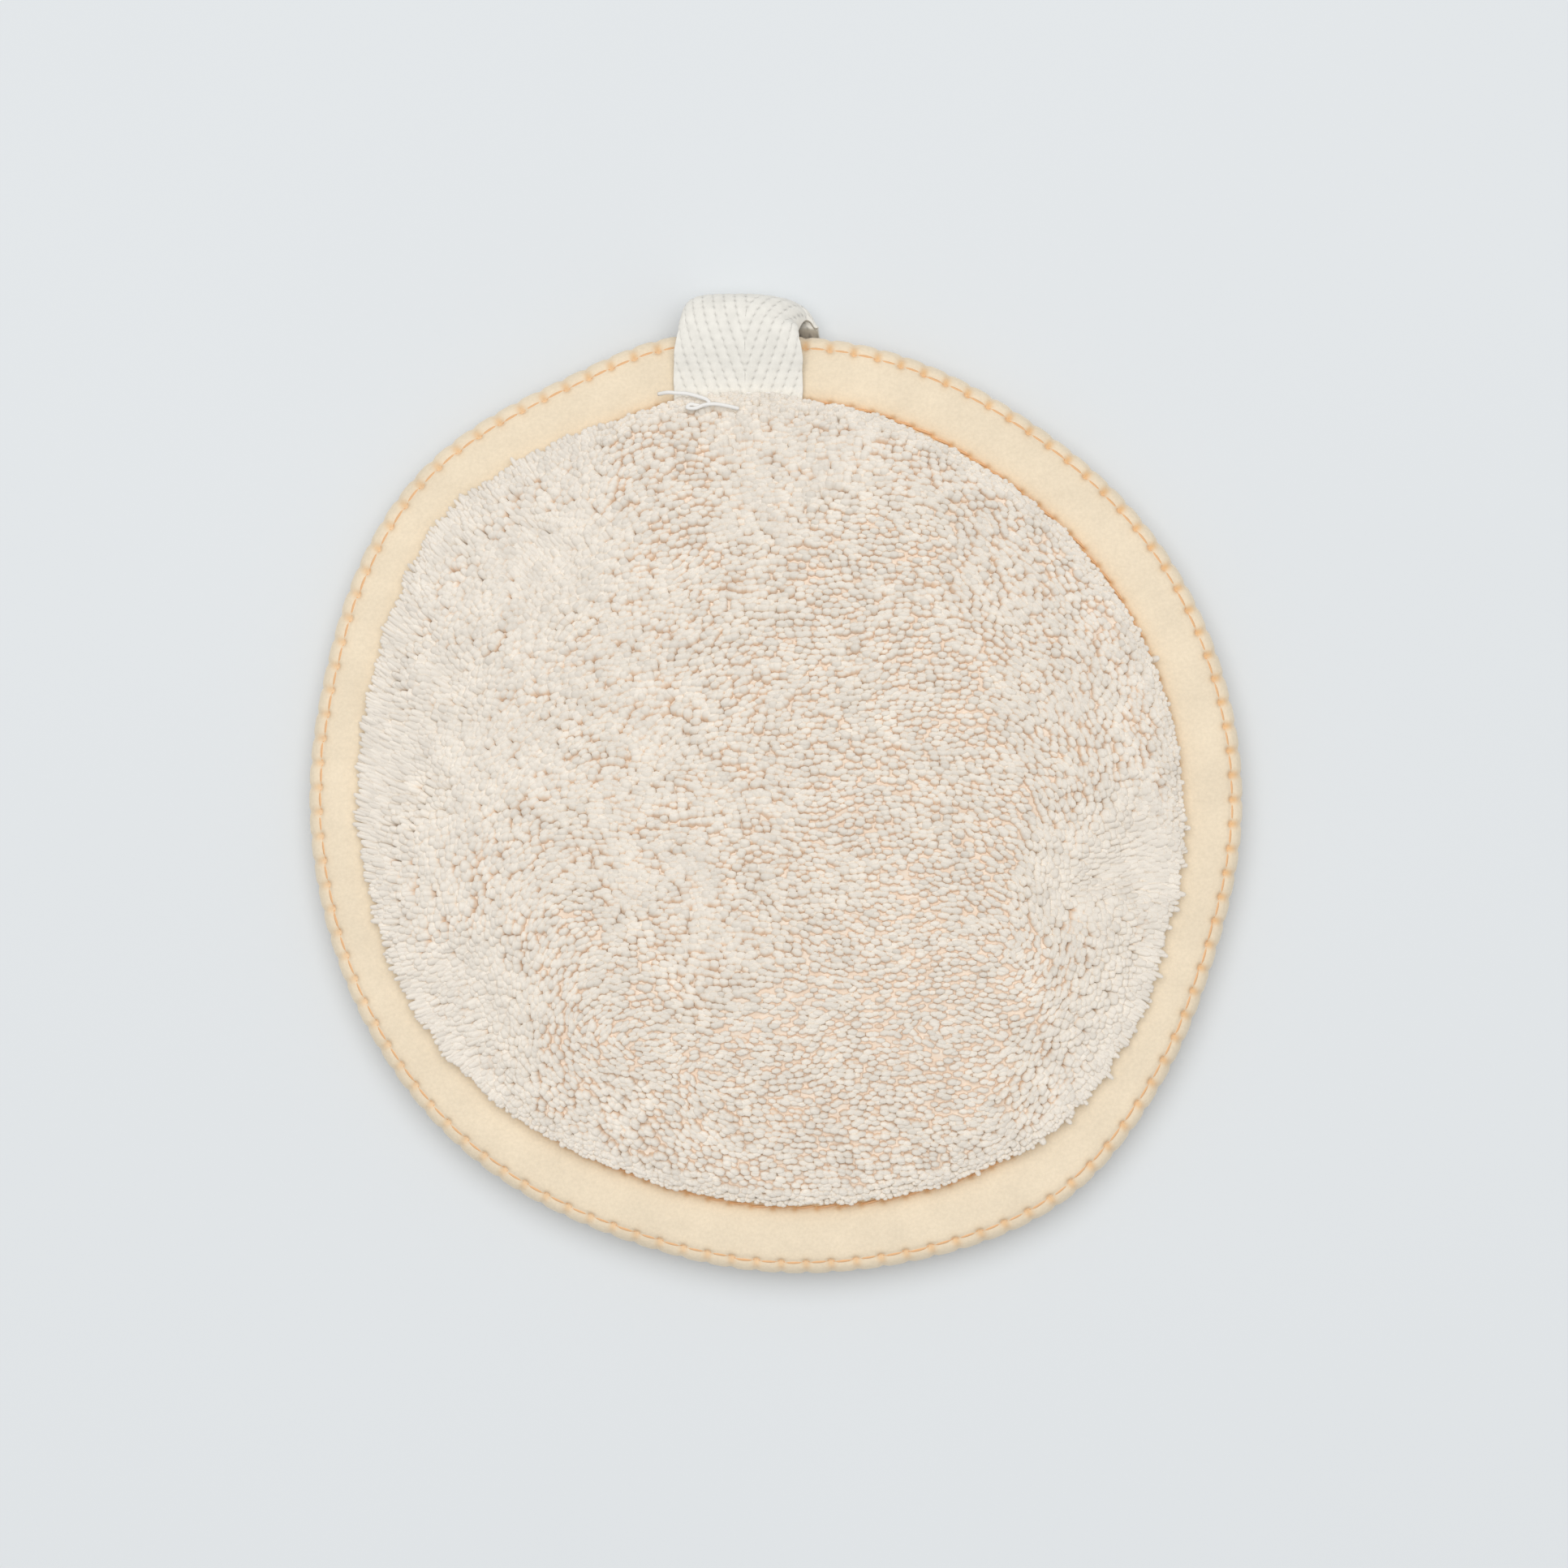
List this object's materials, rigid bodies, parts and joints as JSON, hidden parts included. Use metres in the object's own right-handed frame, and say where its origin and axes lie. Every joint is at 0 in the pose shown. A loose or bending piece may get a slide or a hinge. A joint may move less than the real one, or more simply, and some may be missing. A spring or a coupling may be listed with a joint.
{
  "type": "body pad",
  "caption": "Round double-sided plush body pad with a folded velour edge binding and a tape hanging loop.",
  "frame": {"origin": "centre of the back's flat resting face", "axes": "+Z out of the front pile, +Y towards the hanging loop, +X to the right as the front is seen"},
  "size_m": [0.1097, 0.1152, 0.0099],
  "materials": {
    "plush": "matte cut pile",
    "velour": "short brushed nap",
    "tape": "herringbone weave",
    "peach_thread": "slightly shiny",
    "white_thread": "shiny"
  },
  "bodies": {
    "pad": {"front_cloth": "plush", "back_cloth": "plush", "edge_binding": "velour", "inner_needle_thread": "peach_thread", "outer_needle_thread": "peach_thread", "looper_thread": "peach_thread", "loop_seam_thread": "white_thread", "loop_seam_bobbin_thread": "white_thread"},
    "loop": {"hanging_loop": "tape"}
  },
  "joints": [
    {"name": "loop_rock", "type": "hinge", "parent": "pad", "child": "loop", "pos_m": [-0.0043, 0.0475, 0.0046], "axis": [1, 0, 0], "range_deg": [-8, 8], "stiffness_Nm_per_rad": 0.0003}
  ]
}
